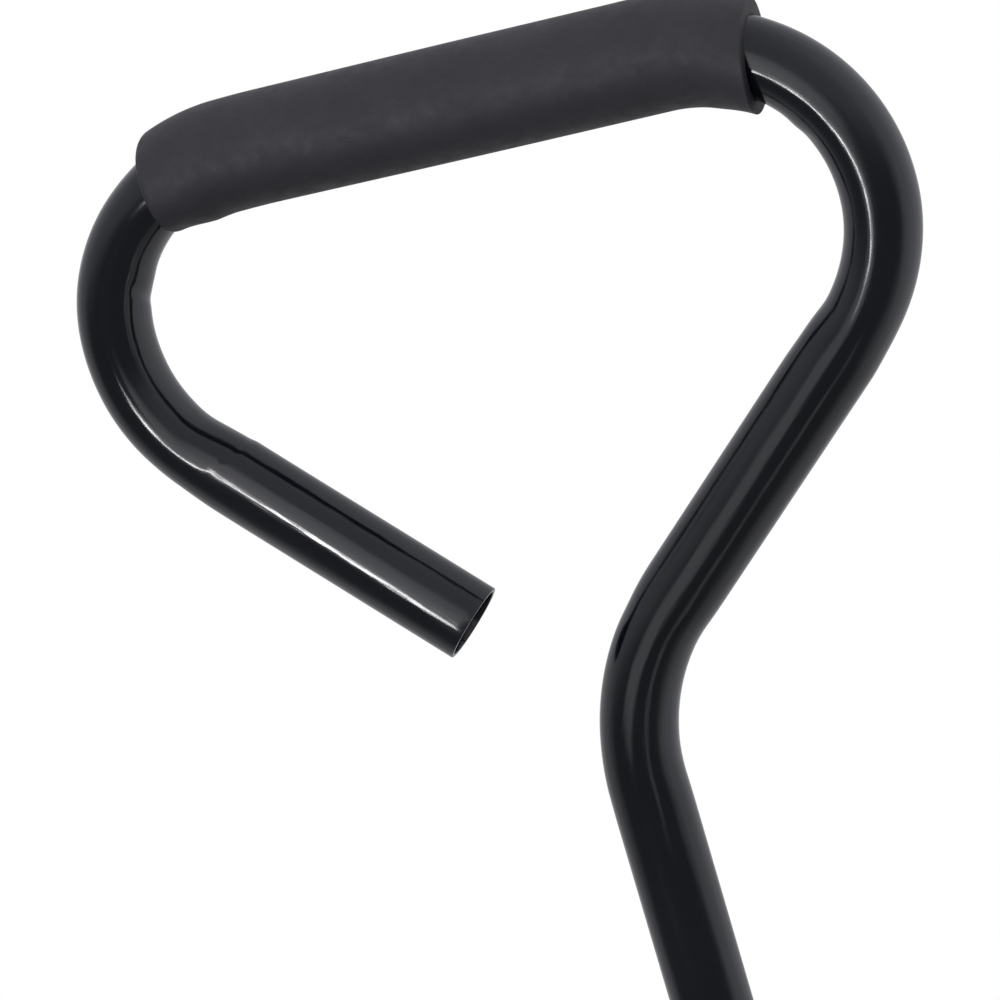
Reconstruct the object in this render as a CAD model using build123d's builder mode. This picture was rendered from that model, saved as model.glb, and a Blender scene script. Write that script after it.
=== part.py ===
from build123d import *
from math import cos, pi, radians, sin, tan
import os

# Pull bar: a bent steel tube with a foam grip, on a fork that bolts down.
# The tube's upper end is an open triangle, whose short leg stops before the shank.
# Its lower end is welded to a cross sleeve that turns on a bolt in the fork.
#
# X runs along the grip and the pivot, Y runs from front to back, and Z runs up the shank.
# The origin is the middle of the foot plate's underside.  All sizes are in millimetres.

# ---------------------------------------------------------------- driving dimensions

# The bent tube.  The triangle's sides are axis lines, measured from corner to corner.
# The short leg stops leg_shortfall before it would meet the shank's axis line.
tube_diameter = 22.0
tube_wall = 1.2
grip_span = 354.4
corner_angle = 43.6
grip_lean = 1.9
leg_shortfall = 50.3
shank_length = 400.0
left_bend_radius = 45.2
right_bend_radius = 47.2
neck_bend_radius = 65.4

# The foam grip, which reaches round into both upper bends.
foam_wall = 4.5
foam_left_reach = 21.5
foam_right_reach = 25.5
foam_end_turn = 8.0

# The cross sleeve and its two flanged bushes.  The sleeve's radius is sleeve_overlap
# more than the tube's, so that the tube's coped end sits round it.
sleeve_length = 40.0
sleeve_overlap = 1.5
sleeve_wall = 2.5
bush_length = 13.0
bush_flange = 1.5

# The bolt, with its washers and its lock nut.
bolt_diameter = 10.0
hexagon_flats = 17.0
head_height = 6.4
head_taper = 8.0
nut_height = 6.5
collar_height = 3.5
collar_wall = 1.0
insert_wall = 1.5
insert_height = 2.8
washer_diameter = 20.0
washer_thickness = 2.0
thread_showing = 2.5

# The fork and the plate that it is welded to.
fork_wall = 3.0
fork_depth = 32.0
fork_bend_radius = 2.0
plate_length = 92.0
plate_width = 60.0
plate_thickness = 4.0
plate_corner_radius = 8.0
foot_hole_diameter = 8.5
foot_hole_edge = 10.0

# Clearances and broken edges.
running_clearance = 0.05
side_clearance = 0.3
hole_clearance = 0.25
floor_clearance = 3.0
edge_chamfer = 0.6

# ---------------------------------------------------------------- worked-out places

tube_radius = tube_diameter / 2
foam_radius = tube_radius + foam_wall
sleeve_radius = tube_radius + sleeve_overlap
sleeve_bore_radius = sleeve_radius - sleeve_wall
bolt_radius = bolt_diameter / 2
washer_radius = washer_diameter / 2
insert_radius = bolt_radius + insert_wall
collar_radius = insert_radius + collar_wall

pivot_height = plate_thickness + fork_wall + floor_clearance + sleeve_radius
neck_height = pivot_height + shank_length

# The grip's middle is straight above the shank, and its right end leans down a little.
grip_direction = Vector(cos(radians(grip_lean)), 0, -sin(radians(grip_lean)))
leg_angle = corner_angle + grip_lean
leg_direction = Vector(cos(radians(leg_angle)), 0, -sin(radians(leg_angle)))
diagonal_angle = corner_angle - grip_lean
right_corner_x = grip_span / 2 * cos(radians(grip_lean))
right_corner_rise = right_corner_x * tan(radians(diagonal_angle))

pivot_point = Vector(0, 0, pivot_height)
neck_corner = Vector(0, 0, neck_height)
right_corner = Vector(right_corner_x, 0, neck_height + right_corner_rise)
left_corner = right_corner - grip_direction * grip_span
leg_length = -left_corner.X / leg_direction.X - leg_shortfall
open_end = left_corner + leg_direction * leg_length

# A bend uses up r * tan(turn / 2) of the axis line on each side of its corner.
corner_turn = radians(180 - corner_angle)
left_setback = left_bend_radius * tan(corner_turn / 2)
right_setback = right_bend_radius * tan(corner_turn / 2)
straight_leg = leg_length - left_setback
straight_grip = grip_span - left_setback - right_setback

# Distances along the tube's axis from the open end.
left_bend_end = straight_leg + left_bend_radius * corner_turn
right_bend_start = left_bend_end + straight_grip
foam_start = left_bend_end - foam_left_reach
foam_finish = right_bend_start + foam_right_reach

# Distances along the pivot from the middle of the sleeve.
bush_face = sleeve_length / 2 + bush_flange
ear_inside = bush_face + side_clearance
ear_outside = ear_inside + fork_wall
washer_outside = ear_outside + washer_thickness
nut_end = washer_outside + nut_height + collar_height
bolt_end = nut_end + thread_showing

# The bolt's axis, drawn on from the middle of the sleeve towards +X.
pivot_plane = Plane(origin=pivot_point, x_dir=(0, 1, 0), z_dir=(1, 0, 0))


def ring(outer_radius, inner_radius):
    """Draws a circle with a round hole through it in the current sketch."""
    Circle(outer_radius)
    Circle(inner_radius, mode=Mode.SUBTRACT)


def hexagon():
    """Draws the hexagon that the bolt's head and the nut share."""
    RegularPolygon(hexagon_flats / 2, side_count=6, major_radius=False)


def save(piece, name):
    """Labels a finished piece and writes it to parts/name.step."""
    piece.part.label = name
    export_step(piece.part, f"parts/{name}.step")


os.makedirs("parts", exist_ok=True)

# ---------------------------------------------------------------- bent tube

with BuildPart() as bar_tube:
    with BuildLine(Plane.XZ) as tube_path:
        FilletPolyline(
            open_end,
            left_corner,
            right_corner,
            neck_corner,
            pivot_point,
            radius=(left_bend_radius, right_bend_radius, neck_bend_radius),
        )
    tube_axis = tube_path.wire()
    with BuildSketch(Plane(origin=tube_axis @ 0, z_dir=tube_axis % 0)):
        ring(tube_radius, tube_radius - tube_wall)
    sweep(path=tube_axis)
    # The lower end is coped to sit round the sleeve, which it is welded to.
    with BuildSketch(pivot_plane):
        Circle(sleeve_radius)
    extrude(amount=tube_diameter, both=True, mode=Mode.SUBTRACT)
save(bar_tube, "bar_tube")

# ---------------------------------------------------------------- foam grip

# The foam is swept past both of its ends, and a plane then cuts each end square.
# It keeps its length all round, so its ends turn much less than the tube does.
foam_overrun = foam_radius
foam_axis = tube_axis.trim(
    (foam_start - foam_overrun) / tube_axis.length,
    (foam_finish + foam_overrun) / tube_axis.length,
)
foam_left_middle = tube_axis @ (foam_start / tube_axis.length)
foam_right_middle = tube_axis @ (foam_finish / tube_axis.length)
left_end_angle = radians(foam_end_turn - grip_lean)
right_end_angle = radians(foam_end_turn + grip_lean)
left_end_plane = Plane(origin=foam_left_middle, z_dir=(cos(left_end_angle), 0, sin(left_end_angle)))
right_end_plane = Plane(origin=foam_right_middle, z_dir=(-cos(right_end_angle), 0, sin(right_end_angle)))

with BuildPart() as foam_grip:
    with BuildSketch(Plane(origin=foam_axis @ 0, z_dir=foam_axis % 0)):
        ring(foam_radius, tube_radius)
    sweep(path=foam_axis)
    split(bisect_by=left_end_plane)
    split(bisect_by=right_end_plane)
save(foam_grip, "foam_grip")

# ---------------------------------------------------------------- cross sleeve and bushes

with BuildPart() as pivot_sleeve:
    with BuildSketch(pivot_plane):
        ring(sleeve_radius, sleeve_bore_radius)
    extrude(amount=sleeve_length / 2, both=True)
save(pivot_sleeve, "pivot_sleeve")

# Each bush is pressed in from one end of the sleeve, and its flange stops on the rim.
bush_bore_radius = bolt_radius + running_clearance
for side, side_name in ((-1, "left"), (1, "right")):
    with BuildPart() as bush:
        with BuildSketch(pivot_plane.offset(side * bush_face)):
            ring(sleeve_radius, bush_bore_radius)
        extrude(amount=-side * bush_flange)
        with BuildSketch(pivot_plane.offset(side * sleeve_length / 2)):
            ring(sleeve_bore_radius, bush_bore_radius)
        extrude(amount=-side * bush_length)
        inner_end = bush.edges().filter_by(GeomType.CIRCLE).group_by(Axis.X)[0 if side > 0 else -1]
        chamfer(inner_end.sort_by(SortBy.RADIUS)[-1], edge_chamfer)
    save(bush, f"bush_{side_name}")

# ---------------------------------------------------------------- fork and foot plate

ear_hole_radius = bolt_radius + hole_clearance
ear_radius = fork_depth / 2

with BuildPart() as fork:
    # The strip as it is bent: two ears and the web between them, seen from the front.
    with BuildSketch(Plane.XZ) as strip:
        with Locations((0, plate_thickness)):
            Rectangle(2 * ear_outside, 2 * pivot_height, align=(Align.CENTER, Align.MIN))
        with Locations((0, plate_thickness + fork_wall)):
            Rectangle(2 * ear_inside, 2 * pivot_height, align=(Align.CENTER, Align.MIN), mode=Mode.SUBTRACT)
        fillet(strip.vertices().group_by(Axis.Y)[1], fork_bend_radius)
        fillet(strip.vertices().group_by(Axis.Y)[0], fork_bend_radius + fork_wall)
    extrude(amount=fork_depth / 2, both=True)
    # The ears' outline, seen from the side: round about the pivot.
    with BuildSketch(Plane.YZ):
        with Locations((0, pivot_height)):
            Circle(ear_radius)
        with Locations((0, plate_thickness)):
            Rectangle(fork_depth, pivot_height - plate_thickness, align=(Align.CENTER, Align.MIN))
    extrude(amount=ear_outside, both=True, mode=Mode.INTERSECT)
    with BuildSketch(pivot_plane):
        Circle(ear_hole_radius)
    extrude(amount=ear_outside, both=True, mode=Mode.SUBTRACT)
save(fork, "fork")

foot_spacing_x = plate_length - 2 * foot_hole_edge
foot_spacing_y = plate_width - 2 * foot_hole_edge

with BuildPart() as foot_plate:
    with BuildSketch():
        RectangleRounded(plate_length, plate_width, plate_corner_radius)
        with GridLocations(foot_spacing_x, foot_spacing_y, 2, 2):
            Circle(foot_hole_diameter / 2, mode=Mode.SUBTRACT)
    extrude(amount=plate_thickness)
    top_rim = foot_plate.faces().sort_by(Axis.Z)[-1].outer_wire().edges()
    chamfer(top_rim, edge_chamfer)
save(foot_plate, "foot_plate")

# ---------------------------------------------------------------- bolt, washers and lock nut

with BuildPart() as pivot_bolt:
    with BuildSketch(pivot_plane.offset(-washer_outside - head_height)):
        hexagon()
    extrude(amount=head_height)
    # The head's corners are turned off at a shallow angle.
    with BuildSketch(pivot_plane.offset(-washer_outside)):
        Circle(hexagon_flats / 2 + edge_chamfer)
    extrude(amount=-head_height, taper=head_taper, mode=Mode.INTERSECT)
    with BuildSketch(pivot_plane.offset(-washer_outside)):
        Circle(bolt_radius)
    extrude(amount=washer_outside + bolt_end)
    chamfer(pivot_bolt.edges().filter_by(GeomType.CIRCLE).sort_by(Axis.X)[-1], edge_chamfer)
save(pivot_bolt, "pivot_bolt")

for inner_face, washer_name in ((-washer_outside, "head_washer"), (ear_outside, "nut_washer")):
    with BuildPart() as washer:
        with BuildSketch(pivot_plane.offset(inner_face)):
            ring(washer_radius, ear_hole_radius)
        extrude(amount=washer_thickness)
    save(washer, washer_name)

# The nut's round collar holds a nylon ring that grips the thread.
with BuildPart() as lock_nut:
    with BuildSketch(pivot_plane.offset(washer_outside)):
        hexagon()
    extrude(amount=nut_height)
    with BuildSketch(pivot_plane.offset(washer_outside + nut_height)):
        Circle(collar_radius)
    extrude(amount=collar_height)
    with BuildSketch(pivot_plane.offset(washer_outside)):
        Circle(bolt_radius)
    extrude(amount=nut_height + collar_height, mode=Mode.SUBTRACT)
    with BuildSketch(pivot_plane.offset(nut_end)):
        Circle(insert_radius)
    extrude(amount=-insert_height, mode=Mode.SUBTRACT)
save(lock_nut, "lock_nut")

with BuildPart() as nut_insert:
    with BuildSketch(pivot_plane.offset(nut_end)):
        ring(insert_radius, bolt_radius)
    extrude(amount=-insert_height)
save(nut_insert, "nut_insert")

# ---------------------------------------------------------------- what was made

tube_section = pi * (tube_radius**2 - (tube_radius - tube_wall) ** 2)
print(f"tube: {tube_axis.length:.1f} mm along its axis, {tube_section * tube_axis.length:.0f} mm3 before coping")
print(f"tube as made: {bar_tube.part.volume:.0f} mm3")
print(f"foam: {foam_finish - foam_start:.1f} mm along the axis, {foam_grip.part.volume:.0f} mm3")
print(f"open end at x {open_end.X:.2f}, z {open_end.Z:.2f}; pivot at z {pivot_height:.2f}")
print(f"neck corner at z {neck_height:.2f}; right corner at x {right_corner.X:.2f}, z {right_corner.Z:.2f}")
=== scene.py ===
# %% [markdown]
# # A pull bar: gloss black tube, black foam grip, bolted steel foot
# The working model arrives as a frame that never moves: every piece has its place and its size
# there already. This script dresses it. It makes the bent tube and the foam again as finer
# surfaces, adds the welds and the threads, and gives every piece a finish made of nodes.
#
# All lengths are in metres. X runs along the grip, Y from front to back and Z up the shank.

# %% Load the frame
from math import cos, hypot, pi, radians, sin, tan

import bmesh
import bpy
import numpy as np
from mathutils import Matrix, Vector


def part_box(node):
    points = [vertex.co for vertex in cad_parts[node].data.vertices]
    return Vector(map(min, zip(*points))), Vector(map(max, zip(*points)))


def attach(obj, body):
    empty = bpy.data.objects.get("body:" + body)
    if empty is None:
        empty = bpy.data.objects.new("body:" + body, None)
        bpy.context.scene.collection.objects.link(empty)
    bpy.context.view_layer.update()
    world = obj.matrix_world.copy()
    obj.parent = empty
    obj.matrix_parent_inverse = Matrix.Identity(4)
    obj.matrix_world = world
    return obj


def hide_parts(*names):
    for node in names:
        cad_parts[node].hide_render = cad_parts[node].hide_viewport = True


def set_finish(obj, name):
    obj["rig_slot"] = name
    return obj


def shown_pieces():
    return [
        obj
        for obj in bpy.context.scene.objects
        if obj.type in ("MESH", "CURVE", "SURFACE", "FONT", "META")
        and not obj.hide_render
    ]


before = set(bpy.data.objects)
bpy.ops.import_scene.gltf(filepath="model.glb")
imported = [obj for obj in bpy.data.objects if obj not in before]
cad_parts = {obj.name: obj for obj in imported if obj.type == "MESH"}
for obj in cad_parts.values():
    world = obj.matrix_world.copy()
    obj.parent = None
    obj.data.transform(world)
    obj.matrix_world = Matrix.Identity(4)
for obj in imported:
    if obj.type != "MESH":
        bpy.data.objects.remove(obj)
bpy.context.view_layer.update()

MM = 0.001

# %% [markdown]
# ## Sizes that the frame already knows
# A box round a piece at rest tells most of its sizes. The tube is bent in one plane only, so
# the box's depth is the tube's diameter, and the same holds for the foam. Reading them here
# keeps the looks in step with the frame when somebody changes it.

# %% Read sizes from the frame
tube_low, tube_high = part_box("bar_tube")
foam_low, foam_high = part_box("foam_grip")
sleeve_low, sleeve_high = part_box("pivot_sleeve")
fork_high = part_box("fork")[1]
plate_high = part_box("foot_plate")[1]
bolt_low, bolt_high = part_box("pivot_bolt")
nut_low, nut_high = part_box("lock_nut")
insert_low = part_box("nut_insert")[0]

tube_radius = (tube_high.y - tube_low.y) / 2
foam_wall = (foam_high.y - foam_low.y) / 2 - tube_radius
sleeve_radius = (sleeve_high.y - sleeve_low.y) / 2
pivot_height = (sleeve_low.z + sleeve_high.z) / 2
print(f"tube radius {tube_radius / MM:.2f}, foam wall {foam_wall / MM:.2f}, "
      f"sleeve radius {sleeve_radius / MM:.2f}, pivot height {pivot_height / MM:.2f} mm")

# %% [markdown]
# ## The tube's axis
# The real tube is one length of steel that is pulled round three formers, so its axis is
# straight runs joined by arcs. A curve object could carry it, but its section would stay round.
# A surface of our own can be pressed flat in the bends and dented at given places, so the axis is kept
# as a rule: how far along, where, and which way it points.

# %% Lay out the straight runs and the bends
tube_wall = 1.2 * MM
paint_coat = 0.12 * MM
grip_span = 354.4 * MM
corner_angle = radians(43.6)
grip_lean = radians(1.9)
leg_shortfall = 50.3 * MM
shank_length = 400.0 * MM
left_bend_radius = 45.2 * MM
right_bend_radius = 47.2 * MM
neck_bend_radius = 65.4 * MM

corner_turn = pi - corner_angle
diagonal_angle = corner_angle - grip_lean
neck_turn = pi / 2 - diagonal_angle
half_span = grip_span / 2 * cos(grip_lean)
leg_length = half_span / cos(corner_angle + grip_lean) - leg_shortfall
diagonal_length = half_span / cos(diagonal_angle)

left_setback = left_bend_radius * tan(corner_turn / 2)
right_setback = right_bend_radius * tan(corner_turn / 2)
neck_setback = neck_bend_radius * tan(neck_turn / 2)

# Each section of the axis is its length and how far it turns, anticlockwise as seen from the front.
sections = [
    (leg_length - left_setback, 0.0),
    (left_bend_radius * corner_turn, -corner_turn),
    (grip_span - left_setback - right_setback, 0.0),
    (right_bend_radius * corner_turn, -corner_turn),
    (diagonal_length - right_setback - neck_setback, 0.0),
    (neck_bend_radius * neck_turn, neck_turn),
    (shank_length - neck_setback, 0.0),
]
section_ends = np.cumsum([0.0] + [length for length, turn in sections])
tube_length = section_ends[-1]
print("section ends along the axis in mm:", np.round(section_ends / MM, 1).tolist())

ruler = np.linspace(0.0, tube_length, 40001)
turned = np.cumsum([0.0] + [turn for length, turn in sections])
ruler_heading = pi - corner_angle - grip_lean + np.interp(ruler, section_ends, turned)


def running_sum(values):
    """Adds up values along the ruler, each step taken at the average of its two ends."""
    steps = (values[1:] + values[:-1]) / 2 * (ruler[1] - ruler[0])
    return np.concatenate([[0.0], np.cumsum(steps)])


ruler_x = running_sum(np.cos(ruler_heading))
ruler_z = running_sum(np.sin(ruler_heading))
ruler_x += -ruler_x[-1]
ruler_z += pivot_height - ruler_z[-1]


def axis_at(along):
    """Returns the axis's x, z and heading at each distance from the open end.

    The heading is the running sum of the turns. The place is the running sum of the heading's
    cosine and sine, laid back from the pivot, where the axis ends.
    """
    return (
        np.interp(along, ruler, ruler_x),
        np.interp(along, ruler, ruler_z),
        np.interp(along, ruler, ruler_heading),
    )


print(f"open end at x {ruler_x[0] / MM:.2f}, z {ruler_z[0] / MM:.2f} mm")

# %% [markdown]
# ## The tube's section
# A bend squeezes the tube: the wall has to go somewhere, so the section grows flatter in the
# plane of the bend and wider across it, and its girth stays nearly the same. The formers also
# leave marks: a step where the clamp held the leg, a wrinkle inside the left bend, a kink inside
# the right bend. Apart from the step, each is a shallow bell along the tube times a bell round it.
#
# Angle 0 of the section is the outside of the two upper bends, 90 degrees is the back, 180
# degrees is the inside of the triangle, and 270 degrees is the front.

# %% The squeeze of each bend


def smooth_step(value, start, end):
    """Goes from 0 at start to 1 at end, level at both: t squared times (3 - 2t)."""
    t = np.clip((value - start) / (end - start), 0.0, 1.0)
    return t * t * (3 - 2 * t)


def bell(value, middle, half_width):
    """A bell of height 1 at the middle: e to the power of minus the squared distance."""
    return np.exp(-(((value - middle) / half_width) ** 2))


left_bend_start, left_bend_end = section_ends[1:3]
right_bend_start, right_bend_end = section_ends[3:5]
neck_start, neck_end = section_ends[5:7]

# Where each bend's squeeze rises from, is full, starts to fall and is gone, and its share.
squeezes = [
    (left_bend_start - 13 * MM, left_bend_start + 9 * MM, left_bend_end - 30 * MM, left_bend_end, 0.108),
    (right_bend_start, right_bend_start + 26 * MM, right_bend_end - 6 * MM, right_bend_end + 9 * MM, 0.080),
    (neck_start - 6 * MM, neck_start + 10 * MM, neck_end - 14 * MM, neck_end + 8 * MM, 0.035),
]


def squeeze_at(along):
    """How much narrower the tube is in the plane of its bends, as a share of its radius."""
    total = np.zeros_like(along)
    for rise, full, fall, gone, share in squeezes:
        total = total + share * smooth_step(along, rise, full) * (1 - smooth_step(along, fall, gone))
    return total


# %% How far the tube sprang aside
# All in millimetres. The leg starts this far outside the ideal line. Each step says from where to
# where along the tube that changes, and by how much. Each swell says its middle, half its width
# and its height.
leg_offset = -0.55
offset_steps = [(118.0, 145.0, 0.55), (186.0, 208.0, 0.50), (395.0, 425.0, -0.45)]
offset_swells = [(105.0, 22.0, -0.30), (370.0, 32.0, 0.45)]


def pulled_aside(along):
    """How far the formers left the tube outside its ideal line, in metres.

    The leg and the left bend sprang inwards, and the grip and the right bend outwards. It is the
    leg's offset, plus a sum of smooth steps and of bells along the tube.
    """
    aside = np.full_like(along, leg_offset)
    for start, end, change in offset_steps:
        aside = aside + change * smooth_step(along, start * MM, end * MM)
    for middle, half_width, height in offset_swells:
        aside = aside + height * bell(along, middle * MM, half_width * MM)
    return aside * MM


# %% The marks of the formers


def turn_from(angle, middle):
    """How far an angle is from the middle, the short way round, in degrees."""
    return (np.degrees(angle) - middle + 180.0) % 360.0 - 180.0


# Each mark: distance along, its half length, angle, its half spread in degrees, slant in
# millimetres along the tube for each degree round it, and its depth, in millimetres.
hand_marks = [
    (143.0, 2.2, 180, 34, 0.10, 0.42),
    (149.5, 4.0, 180, 34, 0.05, -0.26),
    (83.0, 2.6, 272, 13, 0.10, 0.13),
    (365.5, 3.4, 180, 30, 0.00, -0.36),
    (372.5, 3.0, 212, 12, 0.10, 0.18),
    (441.0, 5.0, 180, 24, 0.00, 0.22),
    (529.0, 5.0, 180, 30, 0.00, 0.18),
]


def mark_depth(along, angle):
    """How far the marks push the wall in: the sum of their slanted bells."""
    depth = np.zeros(np.broadcast(along, angle).shape)
    for middle, half_length, where, spread, slant, deep in hand_marks:
        aside = turn_from(angle, where)
        centre = (middle + slant * aside) * MM
        depth = depth + deep * MM * bell(along, centre, half_length * MM) * bell(aside, 0.0, spread)
    return depth


clamp_depth = 0.30 * MM
clamp_edge = 83.0 * MM
clamp_lean = 5.0 * MM
clamp_softness = 1.5 * MM
clamp_fade_start = 88.0 * MM
clamp_fade_end = 104.0 * MM


def clamp_step(along, angle):
    """The clamp's edge on the leg: a soft step, deepest inside the triangle and gone outside.

    Its line leans with the cosine of the angle, so it lies nearest the open end where the step is
    deepest. The step fades out again where the bend starts.
    """
    edge = clamp_edge + clamp_lean * np.cos(angle)
    inner_side = 0.5 - 0.5 * np.cos(angle)
    rise = smooth_step(along, edge - clamp_softness, edge + clamp_softness)
    return clamp_depth * inner_side * rise * (1 - smooth_step(along, clamp_fade_start, clamp_fade_end))


# %% The tube's skin


def tube_point(along, angle, inset):
    """Returns points of the tube's skin, or of a skin that lies inset metres inside it.

    The section is an ellipse. Its half width in the plane is the radius less the squeeze, and
    its half width across keeps the mean square of the two, and so the girth, the same.
    """
    x, z, heading = axis_at(along)
    squeezed = 1 - squeeze_at(along)
    in_plane = tube_radius * squeezed + paint_coat - inset
    across = tube_radius * np.sqrt(2 - squeezed**2) + paint_coat - inset
    pushed = mark_depth(along, angle) + clamp_step(along, angle)
    out = (in_plane - pushed) * np.cos(angle) + pulled_aside(along)
    return np.stack(
        [x - np.sin(heading) * out, (across - pushed) * np.sin(angle), z + np.cos(heading) * out], axis=-1
    )


bends = [(left_bend_start, left_bend_end), (right_bend_start, right_bend_end), (neck_start, neck_end)]
bend_middles = np.array([(start + end) / 2 for start, end in bends])
print("squeeze in the middle of each bend:", np.round(squeeze_at(bend_middles), 3).tolist())

# %% [markdown]
# ## From a grid of points to a mesh
# Every new piece is a sheet of points in rows and columns. A pipe with a wall closes on itself
# both ways, like a ring, so one helper can join the last row to the first, and the last column
# to the first. Rows that go on, turned to columns that go round, give faces that look outwards.

# %% Grid helper


def grid_object(name, points, close_rows=True):
    """Makes an object from points (rows, columns, 3), with its columns closed into rings.

    Face number r, c joins row r to the next row and column c to the next column. Rows whose
    points all meet, as at a pole, are merged into one point afterwards.
    """
    rows, columns = points.shape[:2]
    numbers = np.arange(rows * columns).reshape(rows, columns)
    if close_rows:
        ring = np.concatenate([numbers, numbers[:1]])
    else:
        ring = numbers
    beside = np.roll(ring, -1, axis=1)
    faces = np.stack([ring[:-1], ring[1:], beside[1:], beside[:-1]], axis=-1).reshape(-1, 4)
    mesh = bpy.data.meshes.new(name)
    mesh.from_pydata(points.reshape(-1, 3).tolist(), [], faces.tolist())
    mesh.polygons.foreach_set("use_smooth", np.ones(len(faces), bool))
    mesh.update()
    piece = bpy.data.objects.new(name, mesh)
    bpy.context.scene.collection.objects.link(piece)
    print(f"{name}: {len(points.reshape(-1, 3))} points, {2 * len(faces)} triangles")
    return piece


def merge_poles(piece):
    """Merges the points that lie on each other, so that a pole is one point with no thin faces."""
    shape = bmesh.new()
    shape.from_mesh(piece.data)
    bmesh.ops.remove_doubles(shape, verts=shape.verts, dist=1e-7)
    bmesh.ops.recalc_face_normals(shape, faces=shape.faces)
    shape.to_mesh(piece.data)
    shape.free()


def even_rows(start, end, step, near=()):
    """Distances from start to end about step apart, and closer near some places.

    The rows' density is 1 / step plus a bell at each place, and rows stand at equal shares of
    its running sum.
    """
    fine = np.linspace(start, end, 8001)
    density = np.full_like(fine, 1.0 / step)
    for middle, half_width, close_step in near:
        density = density + bell(fine, middle, half_width) / close_step
    count = np.concatenate([[0.0], np.cumsum((density[1:] + density[:-1]) / 2 * np.diff(fine))])
    return np.interp(np.linspace(0.0, count[-1], int(count[-1]) + 2), count, fine)


# %% [markdown]
# ## The bent tube
# One profile goes down the outside from the open end to the sleeve, crosses the wall there,
# comes back up the bore and goes round the sawn rim. The lower end is cut to the round of the
# sleeve, as a fitter copes a tube before welding it, so its last rows end at a different
# distance at each angle.

# %% Make the bent tube
rim_edge = 0.25 * MM
outer_step = 2.6 * MM
bore_step = 9.0 * MM
ring_angles = np.linspace(0.0, 2 * pi, 96, endpoint=False)[None, :]

# Places that need closer rows: the middle, half the width, and the step that is added there.
bend_half_widths = (60 * MM, 60 * MM, 40 * MM)
bend_places = [(middle, half, outer_step) for middle, half in zip(bend_middles, bend_half_widths)]
mark_places = [(middle * MM, 6 * MM, 0.9 * MM) for middle, *rest in hand_marks]
clamp_place = [(80 * MM, 8 * MM, 0.8 * MM)]
outer_along = even_rows(rim_edge, tube_length, outer_step, mark_places + bend_places + clamp_place)
bore_along = even_rows(rim_edge, tube_length, bore_step, bend_places)[::-1]

quarter = np.linspace(0.0, pi / 2, 5)
rim_along = np.concatenate([rim_edge * (1 - np.sin(quarter))[1:], rim_edge * (1 - np.cos(quarter))[:-1]])
rim_inset = np.concatenate(
    [tube_wall - rim_edge * (1 - np.cos(quarter))[1:], rim_edge * (1 - np.sin(quarter))[:-1]]
)
profile_along = np.concatenate([outer_along, bore_along, rim_along])[:, None]
profile_inset = np.concatenate(
    [np.zeros(len(outer_along)), np.full(len(bore_along), tube_wall), rim_inset]
)[:, None]

cope_start = tube_length - 60 * MM
cope_bite = 0.1 * MM
full_squeeze = 0.11
drawn_out_times = 10


def coped(along, angle, inset):
    """Shortens the last 60 mm so that each line of the tube ends on the sleeve.

    The sleeve's surface stands the square root of its radius squared less y squared above the
    pivot, where y is how far the line lies from the middle plane.
    """
    aside = (tube_radius - inset) * np.sin(angle)
    line_end = tube_length - np.sqrt(sleeve_radius**2 - aside**2) + cope_bite
    share = (along - cope_start) / (tube_length - cope_start)
    return np.where(along > cope_start, cope_start + share * (line_end - cope_start), along)


tube_along = coped(profile_along, ring_angles, profile_inset)
bent_tube = grid_object("bent_tube", tube_point(tube_along, ring_angles, profile_inset))

# How hard the wall was stretched at each point: the finish shows it as a coarser skin.
stretch = squeeze_at(tube_along) / full_squeeze * (0.55 + 0.45 * np.cos(ring_angles))
strain = bent_tube.data.attributes.new("strain", "FLOAT", "POINT")
strain.data.foreach_set("value", np.clip(stretch, 0.0, 1.0).astype(np.float32).ravel())

# Where each point lies along and round the tube, with the length shortened ten times, so that a
# pattern read there is drawn out into streaks as the steel itself was.
section_place = np.broadcast_arrays(
    tube_along / drawn_out_times, tube_radius * np.cos(ring_angles), tube_radius * np.sin(ring_angles)
)
drawn = bent_tube.data.attributes.new("drawn_out", "FLOAT_VECTOR", "POINT")
drawn.data.foreach_set("vector", np.stack(section_place, axis=-1).astype(np.float32).ravel())

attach(bent_tube, "bar")
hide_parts("bar_tube")
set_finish(bent_tube, "gloss_black_paint")

# %% [markdown]
# ## The foam grip
# The grip is a length of foam pipe, pushed on before the last bend was made. It wraps round into
# both bends, and because foam keeps its length all round, its ends stay nearly square to the
# straight grip while the tube turns away. Each end is a plane, so every line of the foam is cut
# where it meets that plane, and the cut edges are rounded over.

# %% Make the foam grip
foam_left_reach = 21.5 * MM
foam_right_reach = 25.5 * MM
foam_end_turn = radians(8.0)
foam_bite = 0.15 * MM
foam_swell = 0.55
foam_start = left_bend_end - foam_left_reach
foam_finish = right_bend_start + foam_right_reach

# How deep the foam is crushed inside each bend, and where along the tube the crush fades.
left_crush, left_crush_full, left_crush_gone = 4.6 * MM, 164 * MM, 188 * MM
right_crush, right_crush_gone, right_crush_full = 2.0 * MM, 338 * MM, 360 * MM


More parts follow.
